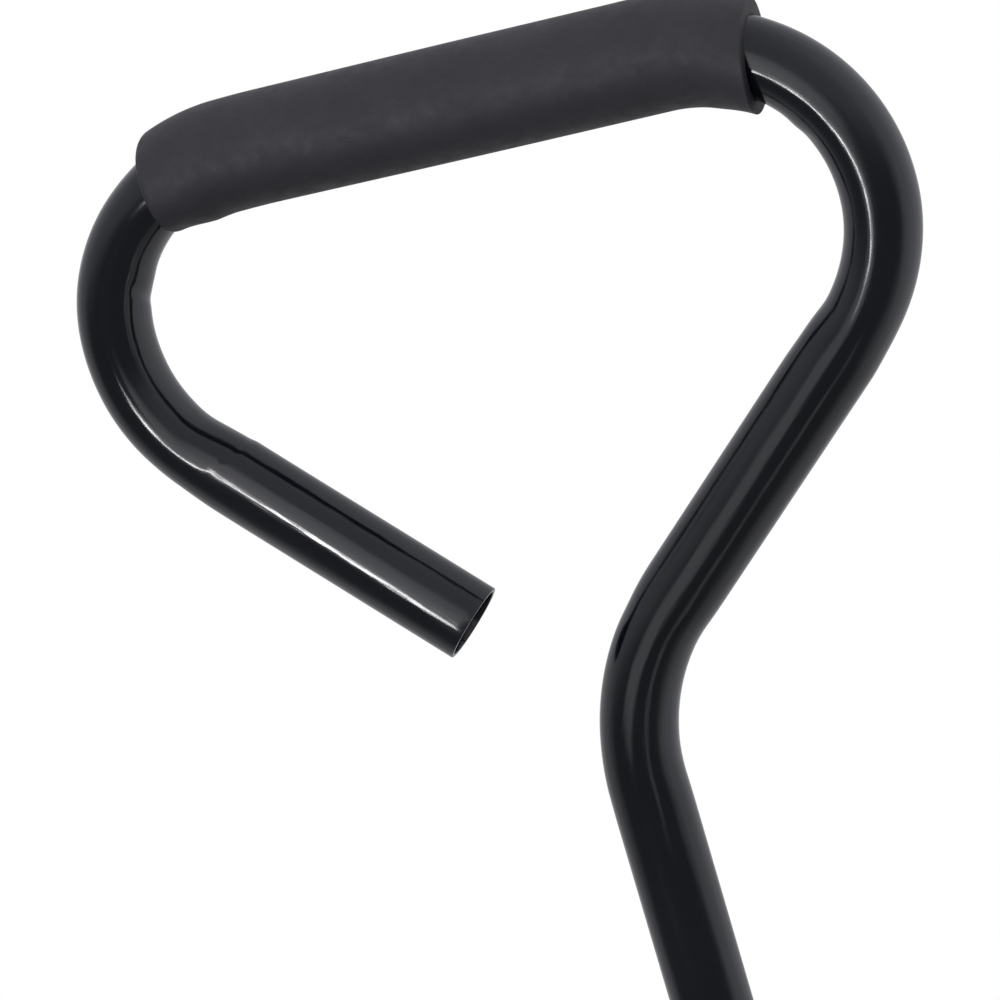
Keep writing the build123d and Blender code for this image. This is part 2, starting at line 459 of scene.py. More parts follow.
def foam_point(along, angle, thickness):
    """Returns points that stand thickness metres outside the tube's skin.

    The foam smooths over the tube's marks, and where the tube is squeezed it swells a little.
    Inside each bend it is crushed, the more so the nearer to its end.
    """
    x, z, heading = axis_at(along)
    squeezed = 1 - squeeze_at(along)
    skin = np.clip(thickness / foam_wall, 0.0, 1.0)
    swell = foam_swell * (1 - squeezed) * tube_radius * skin
    left = left_crush * (1 - smooth_step(along, left_crush_full, left_crush_gone))
    right = right_crush * smooth_step(along, right_crush_gone, right_crush_full)
    crush = (left + right) * (0.5 - 0.5 * np.cos(angle)) ** 1.5 * skin
    out = (tube_radius * squeezed + thickness + swell - crush) * np.cos(angle) + pulled_aside(along)
    side = (tube_radius * np.sqrt(2 - squeezed**2) + thickness) * np.sin(angle)
    return np.stack([x - np.sin(heading) * out, side, z + np.cos(heading) * out], axis=-1)


def cut_at(middle, turn, angle, thickness):
    """Finds how far along each line of the foam lies on an end plane.

    The plane passes through the axis at middle, and its normal leans by turn from X. A line
    passes it where its dot product with the normal changes sign, so the span of 22 mm on either
    side is halved 26 times, until it is far thinner than a hair.
    """
    x, z, heading = axis_at(np.array(middle))
    low = np.full(np.broadcast(angle, thickness).shape, middle - 22 * MM)
    high = np.full_like(low, middle + 22 * MM)
    for halving in range(26):
        half = (low + high) / 2
        point = foam_point(half, angle, thickness)
        before = (point[..., 0] - x) * cos(turn) + (point[..., 2] - z) * sin(turn) < 0
        low = np.where(before, half, low)
        high = np.where(before, high, half)
    return (low + high) / 2


def rounding(radius, steps):
    """A quarter round over an edge: distances from the end face, and how far the skin drops."""
    swing = np.linspace(0.0, pi / 2, steps)
    return radius * (1 - np.cos(swing)), radius * (1 - np.sin(swing))


left_edge = 2.3 * MM
right_edge = 0.5 * MM
left_back, left_drop = rounding(left_edge, 12)
right_back, right_drop = rounding(right_edge, 8)
skin_share = np.linspace(0.0, 1.0, 150)[1:-1]
face_share = np.linspace(0.0, 1.0, 5)[1:-1]
bore_share = np.linspace(1.0, 0.0, 60)
right_face = np.interp(face_share, [0, 1], [foam_wall - right_edge, -foam_bite])
left_face = np.interp(face_share, [0, 1], [-foam_bite, foam_wall - left_edge])

# One closed profile, in six runs: left edge, skin, right edge, right face, bore, left face. Each
# run's rows say their share of the way from the left end to the right one, how far they stand
# from that place along the tube, and how far outside the tube's skin.
foam_runs = [
    (0 * left_back, left_back, foam_wall - left_drop),
    (skin_share, left_edge - (left_edge + right_edge) * skin_share, foam_wall + 0 * skin_share),
    (0 * right_back + 1, -right_back[::-1], foam_wall - right_drop[::-1]),
    (0 * face_share + 1, 0 * face_share, right_face),
    (bore_share, 0 * bore_share, 0 * bore_share - foam_bite),
    (0 * face_share, 0 * face_share, left_face),
]
foam_share, foam_offset, foam_thickness = (np.concatenate(rows)[:, None] for rows in zip(*foam_runs))

left_turn = foam_end_turn - grip_lean
right_turn = -(foam_end_turn + grip_lean)
left_cut = cut_at(foam_start, left_turn, ring_angles, foam_thickness)
right_cut = cut_at(foam_finish, right_turn, ring_angles, foam_thickness)
foam_along = left_cut + foam_share * (right_cut - left_cut) + foam_offset

# Foam pipe is never quite even: slow waves of a tenth of a millimetre along it and round it.
wave_height = 0.10 * MM
along_it = np.sin(foam_along / (31 * MM) + 1.3)
round_it = np.sin(2 * ring_angles + foam_along / (45 * MM))
waves = wave_height * along_it * round_it
waves = waves * np.clip(foam_thickness / foam_wall, 0.0, 1.0)
foam_sleeve = grid_object("foam_sleeve", foam_point(foam_along, ring_angles, foam_thickness + waves))

# The cut ends show open cells, and the finish paints them far darker than the skin: partly the open
# cells' own darker tone, partly painted shade on the end faces.
end_skin = 0.3 * MM
on_end = (foam_thickness < foam_wall - end_skin) & (foam_thickness > -foam_bite)
end_mark = foam_sleeve.data.attributes.new("cut_end_shade", "FLOAT", "POINT")
end_share = np.broadcast_to(on_end.astype(np.float32), foam_along.shape)
end_mark.data.foreach_set("value", end_share.ravel().copy())

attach(foam_sleeve, "bar")
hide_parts("foam_grip")
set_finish(foam_sleeve, "black_foam")

# %% [markdown]
# ## Turned and hexagonal pieces
# A bolt head or a nut is a hexagon whose corners are turned off on a lathe. That is the smaller
# of two radii at every angle: the hexagon's, which swings between its flats and its corners, and
# the turned profile's. A washer is the same surface with a profile too small to meet the
# hexagon. All of them lie along the pivot, which runs along X.

# %% Turned pieces
hexagon_flats = 17.0 * MM
bolt_radius = 5.0 * MM
thread_pitch = 1.5 * MM
thread_depth = 0.8 * MM
turned_angles = np.linspace(0.0, 2 * pi, 144, endpoint=False)[None, :]


def hexagon_radius(angle):
    """Half the width over flats, divided by the cosine of the angle from the nearest flat's middle."""
    from_flat = (angle + pi / 6) % (pi / 3) - pi / 6
    return hexagon_flats / 2 / np.cos(from_flat)


def turned_points(across, radius, angle=turned_angles, hexagonal=True):
    """Points of a turned profile: x is across, and the radius is the profile's or the hexagon's."""
    limit = np.broadcast_to(radius, np.broadcast(across, angle, radius).shape)
    if hexagonal:
        limit = np.minimum(limit, hexagon_radius(angle))
    x = np.broadcast_to(across, limit.shape)
    return np.stack([x, -limit * np.sin(angle), pivot_height + limit * np.cos(angle)], axis=-1)


def sharpen(piece, angle=radians(28)):
    """Keeps edges that turn by more than an angle crisp, and smooths the rest."""
    piece.data.set_sharp_from_angle(angle=angle)


def turned_piece(name, profile, node, hexagonal=True):
    """Makes a zinc piece from a closed profile of (x, radius) corners in millimetres.

    Each side of the profile is cut into rows about 0.35 mm apart.
    """
    starts = np.array(profile) * MM
    ends = np.roll(starts, -1, axis=0)
    counts = np.maximum(1, (np.hypot(*(ends - starts).T) / (0.35 * MM)).astype(int))
    rows = np.concatenate([
        start + (end - start) * np.linspace(0, 1, count, endpoint=False)[:, None]
        for start, end, count in zip(starts, ends, counts)
    ])
    piece = grid_object(name, turned_points(rows[:, :1], rows[:, 1:], hexagonal=hexagonal))
    merge_poles(piece)
    sharpen(piece)
    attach(piece, "foot")
    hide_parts(node)
    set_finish(piece, "zinc_plate")


# Places along the pivot, in millimetres. The nut bears on its washer, and the washer on the fork.
bolt_end = bolt_high.x / MM
head_start = bolt_low.x / MM
fork_out = fork_high.x / MM
nut_start = nut_low.x / MM
nut_end = nut_high.x / MM
insert_start = insert_low.x / MM

washer_hole = 5.4
washer_rim = 10.0
washer_edge = 0.25
washer_profile = [
    (fork_out, washer_hole), (nut_start, washer_hole), (nut_start, washer_rim - washer_edge),
    (nut_start - washer_edge, washer_rim), (fork_out + washer_edge, washer_rim),
    (fork_out, washer_rim - washer_edge),
]
mirrored_profile = [(-x, radius) for x, radius in washer_profile][::-1]
turned_piece("plain_washer_nut_side", washer_profile, "nut_washer", hexagonal=False)
turned_piece("plain_washer_head_side", mirrored_profile, "head_washer", hexagonal=False)

# The nut, from its bore out over its bearing face, its flats and the collar, and back to the
# insert's seat.
nut_bore = 5.02
insert_seat = 6.5
collar_start = nut_start + 6.5
nut_profile = [
    (nut_start, nut_bore), (nut_start, 8.2), (nut_start + 0.95, 9.9), (nut_start + 5.6, 9.9),
    (collar_start, 8.3), (collar_start, 7.55), (nut_end - 0.8, 7.5), (nut_end - 0.25, 7.25),
    (nut_end, 6.9), (nut_end, insert_seat), (insert_start, insert_seat), (insert_start, nut_bore),
]
turned_piece("hexagon_lock_nut", nut_profile, "lock_nut")

# %% [markdown]
# ## The bolt
# The bolt is turned in one piece too, but its thread winds. On a winding thread the radius
# depends on how far along a point is, less one pitch for each full turn, so a saw-tooth of that
# value cuts the groove, and a smooth step lets it run out where the plain shank begins.

# %% Make the bolt
head_inner = -nut_start
thread_start = 19.0
thread_across = np.arange(thread_start, bolt_end - 0.05, 0.125)

# The profile in millimetres, in runs from the head to the tip: where the rows stand across, and
# the radius that the lathe leaves. Along the flats that is more than the hexagon's corners.
bolt_runs = [
    ([head_start, head_start, head_start + 0.15, head_start + 0.9], [0.0, 7.6, 8.1, 9.4]),
    (np.linspace(head_start + 1.2, head_inner - 0.4, 12), np.full(12, 10.0)),
    ([head_inner - 0.35, head_inner, head_inner], [8.6, 8.3, 5.3]),
    (np.linspace(head_inner + 0.05, thread_start - 0.2, 24), np.full(24, 5.0)),
    (thread_across, np.full(len(thread_across), 5.0)),
    ([bolt_end, bolt_end], [4.1, 0.0]),
]
bolt_across, bolt_limit = (np.concatenate(rows)[:, None] * MM for rows in zip(*bolt_runs))

groove_phase = (bolt_across / thread_pitch - turned_angles / (2 * pi)) % 1.0
groove = thread_depth * np.clip(1.25 - 2.6 * np.abs(groove_phase - 0.5), 0.0, 1.0)
in_thread = smooth_step(bolt_across, thread_start * MM, (thread_start + 2.0) * MM)
in_thread = in_thread * (bolt_across < bolt_high.x - 1e-6)

# The last 0.9 mm tapers to the tip, by 0.7 mm of radius for each millimetre.
tip_limit = bolt_radius - 0.7 * np.clip(bolt_across - (bolt_high.x - 0.9 * MM), 0.0, 1.0)
bolt_radii = np.minimum(bolt_limit, np.where(bolt_across > 0, tip_limit, bolt_limit)) - groove * in_thread
bolt_radii = np.where(bolt_limit == 0.0, 0.0, bolt_radii)
threaded_bolt = grid_object("threaded_bolt", turned_points(bolt_across, bolt_radii), close_rows=False)
merge_poles(threaded_bolt)
sharpen(threaded_bolt, radians(35))
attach(threaded_bolt, "foot")
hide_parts("pivot_bolt")
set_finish(threaded_bolt, "zinc_plate")

# %% [markdown]
# ## The welds
# The shank is welded to the sleeve, and the fork to the plate. A welded seam is a row of
# overlapping puddles, so each bead is a rope laid along the seam whose thickness swells and
# pinches once for each puddle. The paint went on afterwards, so the beads are gloss black too.

# %% Make the weld beads


def bead_object(name, seam, sideways, thickness, puddles, body, closed):
    """Lays a rope of weld along a seam of points, seen across by sideways and straight up.

    Its radius is the thickness times (0.91 + 0.1 times the size of a sine that swings half a
    turn for each puddle). An open bead also tapers to a point at both ends, as a half circle does.
    """
    around = np.linspace(0.0, 2 * pi, 20, endpoint=False)[None, :, None]
    share = np.linspace(0.0, 1.0, len(seam), endpoint=not closed)[:, None, None]
    wave = np.abs(np.sin(pi * puddles * share + 0.55 * np.cos(around)))
    taper = 1.0 if closed else np.sqrt(np.clip(1 - np.abs(2 * share - 1) ** 10, 0.0, 1.0))
    radius = thickness * (0.91 + 0.1 * wave) * taper
    upwards = np.array([0.0, 0.0, 1.0])
    across = np.cos(around) * sideways[:, None, :] + np.sin(around) * upwards
    bead = grid_object(name, seam[:, None, :] + radius * across, close_rows=closed)
    merge_poles(bead)
    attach(bead, body)
    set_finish(bead, "gloss_black_paint")
    return bead


saddle = np.linspace(0.0, 2 * pi, 360, endpoint=False)
saddle_x = (tube_radius + 0.3 * MM) * np.cos(saddle)
saddle_y = (tube_radius + 0.3 * MM) * np.sin(saddle)
saddle_z = pivot_height + np.sqrt((sleeve_radius + 0.2 * MM) ** 2 - saddle_y**2)
saddle_seam = np.stack([saddle_x, saddle_y, saddle_z], axis=-1)
outwards = np.stack([np.cos(saddle), np.sin(saddle), 0 * saddle], axis=-1)
bead_object("shank_weld", saddle_seam, outwards, 1.9 * MM, 42, "bar", closed=True)

fork_bead_reach = fork_high.x - 6.5 * MM
for side, side_name in ((-1, "front"), (1, "back")):
    seam_x = np.linspace(-fork_bead_reach, fork_bead_reach, 240)
    level = np.ones_like(seam_x)
    seam = np.stack([seam_x, side * fork_high.y * level, (plate_high.z + 0.4 * MM) * level], axis=-1)
    bead_side = np.stack([0 * level, side * level, 0 * level], axis=-1)
    bead_object(f"fork_weld_{side_name}", seam, bead_side, 2.1 * MM, 15, "foot", closed=False)

# %% [markdown]
# ## The pieces that keep the frame's own shape
# The fork, the plate, the sleeve, its two bushes and the nut's insert already have the right
# shape, but their edges are knife sharp, and no real edge is. A copy of each is merged into one
# skin, its flat faces are joined, and a Bevel modifier rolls every corner over by a fraction of
# a millimetre, which is what catches the light.

# %% Soften the edges of copies


def softened(node, name, body, slot_name, width):
    """Copies a node's mesh, merges its loose triangles and rounds its edges by width."""
    shape = bmesh.new()
    shape.from_mesh(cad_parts[node].data)
    bmesh.ops.remove_doubles(shape, verts=shape.verts, dist=1e-6)
    bmesh.ops.dissolve_limit(shape, angle_limit=radians(0.5), verts=shape.verts, edges=shape.edges)
    bmesh.ops.recalc_face_normals(shape, faces=shape.faces)
    mesh = bpy.data.meshes.new(name)
    shape.to_mesh(mesh)
    shape.free()
    mesh.polygons.foreach_set("use_smooth", np.ones(len(mesh.polygons), bool))
    piece = bpy.data.objects.new(name, mesh)
    bpy.context.scene.collection.objects.link(piece)
    roll = piece.modifiers.new("rolled edges", "BEVEL")
    roll.width = width
    roll.segments = 3
    roll.limit_method = "ANGLE"
    roll.angle_limit = radians(35)
    shading = piece.modifiers.new("flat faces stay flat", "WEIGHTED_NORMAL")
    shading.weight = 90
    shading.keep_sharp = False
    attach(piece, body)
    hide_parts(node)
    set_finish(piece, slot_name)
    print(f"{name}: {len(mesh.polygons)} faces before its edges are rolled")
    return piece


softened("fork", "pivot_fork", "foot", "gloss_black_paint", 0.6 * MM)
softened("foot_plate", "bolt_down_plate", "foot", "gloss_black_paint", 0.5 * MM)
softened("pivot_sleeve", "cross_sleeve", "bar", "gloss_black_paint", 0.35 * MM)
softened("bush_left", "flanged_bush_left", "bar", "white_nylon", 0.25 * MM)
softened("bush_right", "flanged_bush_right", "bar", "white_nylon", 0.25 * MM)
softened("nut_insert", "nut_locking_ring", "foot", "white_nylon", 0.2 * MM)

# %% [markdown]
# ## A short way to write nodes
# A material is a small program drawn as boxes and lines. Written out in full, each box takes
# four or five lines, so one helper makes a node, sets its properties and joins or sets its
# sockets in a single call.

# %% Node helpers


def add(tree, kind, sockets=None, **settings):
    """Adds a shader node. Each socket is given a value, or another node's output to join to."""
    made = tree.nodes.new("ShaderNode" + kind)
    for name, value in settings.items():
        setattr(made, name, value)
    for name, value in (sockets or {}).items():
        if isinstance(value, bpy.types.NodeSocket):
            tree.links.new(value, made.inputs[name])
        else:
            made.inputs[name].default_value = value
    return made


def new_group(name, takes, gives):
    """Starts a shared node group. takes lists (name, kind, value), and gives lists (name, kind)."""
    tree = bpy.data.node_groups.new(name, "ShaderNodeTree")
    for label, kind, value in takes:
        socket = tree.interface.new_socket(label, in_out="INPUT", socket_type="NodeSocket" + kind)
        if value is not None:
            socket.default_value = value
    for label, kind in gives:
        tree.interface.new_socket(label, in_out="OUTPUT", socket_type="NodeSocket" + kind)
    return tree, tree.nodes.new("NodeGroupInput").outputs, tree.nodes.new("NodeGroupOutput").inputs


def place_group(tree, group, sockets):
    """Places a shared group in a material, with this material's own values."""
    return add(tree, "Group", sockets, node_tree=group)


# %% [markdown]
# ## Effects that more than one finish uses
# Three things happen on nearly every surface here. It varies slowly from place to place, it has
# a fine skin of ripples or grain, and it carries scattered specks. Each is a group that is built
# once, and every finish places it at its own scale.

# %% Shared effects


def mottle_group():
    """Slow patches: noise, with its middle range stretched to run from Low to High."""
    tree, given, result = new_group(
        "mottle",
        [("Vector", "Vector", None), ("Scale", "Float", 40.0), ("Low", "Float", 0.0), ("High", "Float", 1.0)],
        [("Value", "Float")],
    )
    noise = add(tree, "TexNoise", {"Vector": given["Vector"], "Scale": given["Scale"], "Detail": 4.0})
    spread = add(tree, "MapRange", {
        "Value": noise.outputs["Fac"], "From Min": 0.32, "From Max": 0.68,
        "To Min": given["Low"], "To Max": given["High"],
    })
    tree.links.new(spread.outputs["Result"], result["Value"])
    return tree


def skin_group():
    """Ripples of a sprayed or moulded skin: a coarse noise plus a finer one at a third of its height."""
    tree, given, result = new_group(
        "rippled_skin",
        [("Vector", "Vector", None), ("Scale", "Float", 500.0), ("Height", "Float", 1.0)],
        [("Height", "Float")],
    )
    coarse = add(tree, "TexNoise", {"Vector": given["Vector"], "Scale": given["Scale"], "Detail": 1.0})
    finer_scale = add(tree, "Math", {0: given["Scale"], 1: 3.1}, operation="MULTIPLY")
    fine = add(tree, "TexNoise", {"Vector": given["Vector"], "Scale": finer_scale.outputs[0], "Detail": 2.0})
    both = add(tree, "Math", {
        0: fine.outputs["Fac"], 1: 0.33, 2: coarse.outputs["Fac"],
    }, operation="MULTIPLY_ADD")
    raised = add(tree, "Math", {0: both.outputs[0], 1: given["Height"]}, operation="MULTIPLY")
    tree.links.new(raised.outputs[0], result["Height"])
    return tree


def specks_group():
    """Scattered dots: a cell's distance under Size, in only a Share of the cells."""
    tree, given, result = new_group(
        "specks",
        [("Vector", "Vector", None), ("Scale", "Float", 300.0), ("Share", "Float", 0.2),
         ("Size", "Float", 0.25)],
        [("Mask", "Float")],
    )
    cells = add(tree, "TexVoronoi", {"Vector": given["Vector"], "Scale": given["Scale"]})
    smaller = add(tree, "Math", {0: given["Size"], 1: 0.4}, operation="MULTIPLY")
    dot = add(tree, "MapRange", {
        "Value": cells.outputs["Distance"], "From Min": smaller.outputs[0], "From Max": given["Size"],
        "To Min": 1.0, "To Max": 0.0,
    }, interpolation_type="SMOOTHSTEP")
    chance = add(tree, "SeparateColor", {"Color": cells.outputs["Color"]})
    chosen = add(tree, "Math", {0: chance.outputs["Red"], 1: given["Share"]}, operation="LESS_THAN")
    mask = add(tree, "Math", {0: dot.outputs["Result"], 1: chosen.outputs[0]}, operation="MULTIPLY")
    tree.links.new(mask.outputs[0], result["Mask"])
    return tree


mottle = mottle_group()
rippled_skin = skin_group()
specks = specks_group()
print("shared groups:", ", ".join(group.name for group in (mottle, rippled_skin, specks)))

# %% [markdown]
# ## The finishes
# Gloss paint on steel is nearly all reflection: its own colour is close to black, and what shows
# is the room, bent by the ripples of the sprayed skin. The ripples are coarser where the tube was
# stretched. Foam is the opposite, a matt skin of tiny cells with hardly any shine. The zinc is a
# metal with soft patches, and the nylon a pale plastic that scatters light.

# %% Finish helpers


def new_finish(name):
    """Starts a material: returns it with its node tree, its shader and the object's coordinates."""
    finish = bpy.data.materials.new(name)
    finish.use_nodes = True
    tree = finish.node_tree
    shader = tree.nodes["Principled BSDF"]
    place = add(tree, "TexCoord").outputs["Object"]
    return finish, tree, shader, place


def join(tree, output, shader, socket):
    """Joins an output to a shader's socket."""
    tree.links.new(output, shader.inputs[socket])


def blended_colour(tree, share, first, second):
    """Mixes two colours by a share from 0 to 1."""
    mix = add(tree, "Mix", {0: share, 6: (*first, 1.0), 7: (*second, 1.0)}, data_type="RGBA")
    return mix.outputs[2]


def bump(tree, height, strength, distance, under=None):
    """Turns a height into a tilt of the surface, over another bump if one is given."""
    sockets = {"Height": height, "Strength": strength, "Distance": distance}
    if under is not None:
        sockets["Normal"] = under
    return add(tree, "Bump", sockets).outputs["Normal"]


# %% Gloss black paint


def gloss_black_paint():
    """Black enamel: streaks of the drawn steel below, a fine ripple, and specks of trapped dust."""
    finish, tree, shader, place = new_finish("gloss_black_paint")
    strain_here = add(tree, "Attribute", attribute_name="strain").outputs["Fac"]
    peel_height = add(tree, "MapRange", {"Value": strain_here, "To Min": 0.30, "To Max": 1.0})
    peel = place_group(tree, rippled_skin, {
        "Vector": place, "Scale": 330.0, "Height": peel_height.outputs["Result"],
    })
    dust = place_group(tree, specks, {"Vector": place, "Scale": 210.0, "Share": 0.035, "Size": 0.10})
    drawn_place = add(tree, "Attribute", attribute_name="drawn_out").outputs["Vector"]
    streaks = place_group(tree, rippled_skin, {"Vector": drawn_place, "Scale": 210.0, "Height": 1.0})
    streaked = bump(tree, streaks.outputs["Height"], 0.60, 0.24 * MM)
    rippled = bump(tree, peel.outputs["Height"], 0.34, 0.06 * MM, under=streaked)
    skin = bump(tree, dust.outputs["Mask"], 0.45, 0.05 * MM, under=rippled)
    gloss = place_group(tree, mottle, {"Vector": place, "Scale": 34.0, "Low": 0.10, "High": 0.17})
    tone = place_group(tree, mottle, {"Vector": place, "Scale": 60.0, "Low": 0.0, "High": 1.0})
    colour = blended_colour(tree, tone.outputs["Value"], (0.0045, 0.0058, 0.0105), (0.0068, 0.0082, 0.0140))
    join(tree, colour, shader, "Base Color")
    join(tree, gloss.outputs["Value"], shader, "Roughness")
    join(tree, skin, shader, "Normal")
    shader.inputs["IOR"].default_value = 1.5
    return finish


# %% Black foam


def black_foam():
    """Closed-cell foam with a matt skin: pits of half a millimetre over broad faint patches. The pits and the
    cut ends are painted darker, partly the open cells' own tone and partly painted shade in the pits and on
    the end faces.
    """
    finish, tree, shader, place = new_finish("black_foam")
    shaded_cut_here = add(tree, "Attribute", attribute_name="cut_end_shade").outputs["Fac"]
    cells = place_group(tree, specks, {"Vector": place, "Scale": 1500.0, "Share": 0.7, "Size": 0.5})
    nap = place_group(tree, rippled_skin, {"Vector": place, "Scale": 1300.0, "Height": 1.0})
    patches = place_group(tree, mottle, {"Vector": place, "Scale": 70.0, "Low": 0.0, "High": 1.0})
    worn = blended_colour(tree, patches.outputs["Value"], (0.0450, 0.0440, 0.0530), (0.0530, 0.0520, 0.0620))
    # Painted shade: the colour darkens in the pits, a little on the skin and strongly on the cut ends.
    pit_painted_shade = add(tree, "MapRange", {"Value": shaded_cut_here, "To Min": 0.16, "To Max": 0.9}).outputs["Result"]
    depth = add(tree, "Math", {0: cells.outputs["Mask"], 1: pit_painted_shade}, operation="MULTIPLY")
    open_cells_and_painted_shade = add(tree, "Math", {
        0: shaded_cut_here, 1: 0.75, 2: depth.outputs[0],
    }, operation="MULTIPLY_ADD", use_clamp=True)
    # The base colour blends towards near black by that share: painted shade on the cut end faces and in the
    # pits.
    deep = add(tree, "Mix", {
        0: open_cells_and_painted_shade.outputs[0], 6: worn, 7: (0.012, 0.012, 0.014, 1.0),
    }, data_type="RGBA")
    dull = place_group(tree, mottle, {"Vector": place, "Scale": 260.0, "Low": 0.52, "High": 0.66})
    soft = bump(tree, nap.outputs["Height"], 0.55, 0.10 * MM)
    skin = bump(tree, cells.outputs["Mask"], -0.40, 0.06 * MM, under=soft)
    join(tree, deep.outputs[2], shader, "Base Color")
    join(tree, dull.outputs["Value"], shader, "Roughness")
    join(tree, skin, shader, "Normal")
    shader.inputs["IOR"].default_value = 1.4
    shader.inputs["Sheen Weight"].default_value = 0.06
    shader.inputs["Sheen Roughness"].default_value = 0.6
    return finish


# %% Zinc plate


def zinc_plate():
    """Bright zinc on steel: a metal with cloudy patches, fine grain and a faint straw tint."""
    finish, tree, shader, place = new_finish("zinc_plate")
    clouds = place_group(tree, mottle, {"Vector": place, "Scale": 190.0, "Low": 0.0, "High": 1.0})
    colour = blended_colour(tree, clouds.outputs["Value"], (0.56, 0.56, 0.57), (0.70, 0.69, 0.64))
    dull = place_group(tree, mottle, {"Vector": place, "Scale": 420.0, "Low": 0.26, "High": 0.42})
    grain = place_group(tree, rippled_skin, {"Vector": place, "Scale": 1600.0, "Height": 1.0})
    join(tree, colour, shader, "Base Color")
    join(tree, dull.outputs["Value"], shader, "Roughness")
    join(tree, bump(tree, grain.outputs["Height"], 0.25, 0.04 * MM), shader, "Normal")
    shader.inputs["Metallic"].default_value = 1.0
    return finish


# %% White nylon


def white_nylon():
    """Natural nylon: milky, with a faint moulded ripple and a few dark specks of dirt."""
    finish, tree, shader, place = new_finish("white_nylon")
    clouds = place_group(tree, mottle, {"Vector": place, "Scale": 230.0, "Low": 0.0, "High": 1.0})
    milky = blended_colour(tree, clouds.outputs["Value"], (0.72, 0.71, 0.66), (0.80, 0.79, 0.75))
    dirt = place_group(tree, specks, {"Vector": place, "Scale": 700.0, "Share": 0.08, "Size": 0.2})
    colour = add(tree, "Mix", {
        0: dirt.outputs["Mask"], 6: milky, 7: (0.35, 0.33, 0.28, 1.0),
    }, data_type="RGBA")
    ripple = place_group(tree, rippled_skin, {"Vector": place, "Scale": 600.0, "Height": 1.0})
    dull = place_group(tree, mottle, {"Vector": place, "Scale": 500.0, "Low": 0.36, "High": 0.50})
    join(tree, colour.outputs[2], shader, "Base Color")
    join(tree, dull.outputs["Value"], shader, "Roughness")
    join(tree, bump(tree, ripple.outputs["Height"], 0.2, 0.05 * MM), shader, "Normal")
    shader.inputs["Subsurface Weight"].default_value = 0.15
    shader.inputs["Subsurface Scale"].default_value = 1.0 * MM
    return finish


# %% Give every piece its finish
finishes = {
    "gloss_black_paint": gloss_black_paint(),
    "black_foam": black_foam(),
    "zinc_plate": zinc_plate(),
    "white_nylon": white_nylon(),
}
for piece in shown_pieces():
    slot_name = piece["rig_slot"]
    piece.data.materials.clear()
    piece.data.materials.append(finishes[slot_name])
    print(f"{piece.name}: {slot_name}")

# %% [markdown]
# ## The floor
# The floor is a pale disc under the foot. Its rim fades out to nothing, so it has no edge in any
# view and the white studio simply carries on.

# %% Make the floor


def pale_floor():
    """A pale matt sheet that turns clear between two distances from the middle."""
    finish = bpy.data.materials.new("pale_floor")
    finish.use_nodes = True
    tree = finish.node_tree
    tree.nodes.clear()
    place = add(tree, "TexCoord").outputs["Object"]
    away = add(tree, "VectorMath", {0: place}, operation="LENGTH").outputs["Value"]
    fade = add(tree, "MapRange", {
        "Value": away, "From Min": 0.50, "From Max": 0.95,
    }, interpolation_type="SMOOTHSTEP")
    matt = add(tree, "BsdfDiffuse", {"Color": (0.86, 0.86, 0.86, 1.0)})
    glow = add(tree, "Emission", {"Strength": 0.28})
    lit = add(tree, "AddShader", {0: matt.outputs[0], 1: glow.outputs[0]})
    clear = add(tree, "BsdfTransparent")
    mix = add(tree, "MixShader", {0: fade.outputs["Result"], 1: lit.outputs[0], 2: clear.outputs[0]})
    output = add(tree, "OutputMaterial")
    tree.links.new(mix.outputs[0], output.inputs["Surface"])
    return finish


spokes = np.linspace(0.0, 2 * pi, 96, endpoint=False)[None, :]
rings = np.linspace(0.0, 1.0, 12)[:, None]
floor_points = np.stack([rings * np.cos(spokes), rings * np.sin(spokes), 0 * rings * spokes], axis=-1)
floor = grid_object("studio_floor", floor_points, close_rows=False)
merge_poles(floor)
floor.data.materials.append(pale_floor())
floor.visible_glossy = False
floor.visible_diffuse = False

# %% [markdown]
# ## The studio
# A gloss tube shows the room it stands in, so the room is designed as reflections. Behind the
# object it is bright, which draws the pale lines along both edges of the tube. In front it is
# dim low down and lighter overhead. The camera itself sees plain white everywhere, because the
# Light Path node tells its rays from the rays that light and reflect.

# %% Make the world


def studio_world():
    """Reflections read a level that depends on direction, and the camera reads 1."""
    world = bpy.data.worlds.new("studio")
    world.use_nodes = True
    tree = world.node_tree
    tree.nodes.clear()
    direction = add(tree, "TexCoord").outputs["Generated"]
    axes = add(tree, "SeparateXYZ", {0: direction}).outputs

    def ramp(value, start, end, low, high):
        """Runs smoothly from low to high as the value goes from start to end."""
        return add(tree, "MapRange", {
            "Value": value, "From Min": start, "From Max": end, "To Min": low, "To Max": high,
        }, interpolation_type="SMOOTHSTEP").outputs["Result"]

    back = ramp(axes["X"], 0.2, 0.9, 0.60, 0.90)
    front = ramp(axes["Z"], sin(radians(-5)), sin(radians(25)), 0.20, 0.62)
    behind = ramp(axes["Y"], -0.45, 0.10, 0.0, 1.0)
    mirrored = add(tree, "Mix", {0: behind, 2: front, 3: back}, data_type="FLOAT").outputs[0]
    overhead = ramp(axes["Z"], -0.35, 0.25, 0.04, 0.48)
    rays = add(tree, "LightPath").outputs
    level = add(tree, "Mix", {
        0: rays["Is Diffuse Ray"], 2: mirrored, 3: overhead,
    }, data_type="FLOAT").outputs[0]
    strength = add(tree, "Mix", {0: rays["Is Camera Ray"], 2: level, 3: 1.0}, data_type="FLOAT").outputs[0]
    tint = blended_colour(tree, rays["Is Camera Ray"], (0.965, 0.975, 1.02), (1.0, 1.0, 1.0))
    glow = add(tree, "Background", {"Color": tint, "Strength": strength})
    output = add(tree, "OutputWorld")
    tree.links.new(glow.outputs[0], output.inputs["Surface"])
    return world


bpy.context.scene.world = studio_world()
bpy.context.scene.view_settings.view_transform = "Standard"

# %% [markdown]
# ## The lamp
# One slim upright lamp stands in front on the left, and the tube turns it into a thin bright
# line. It is left out of the light that falls on matt surfaces, which need none of its hardness.

# %% Make the lamp


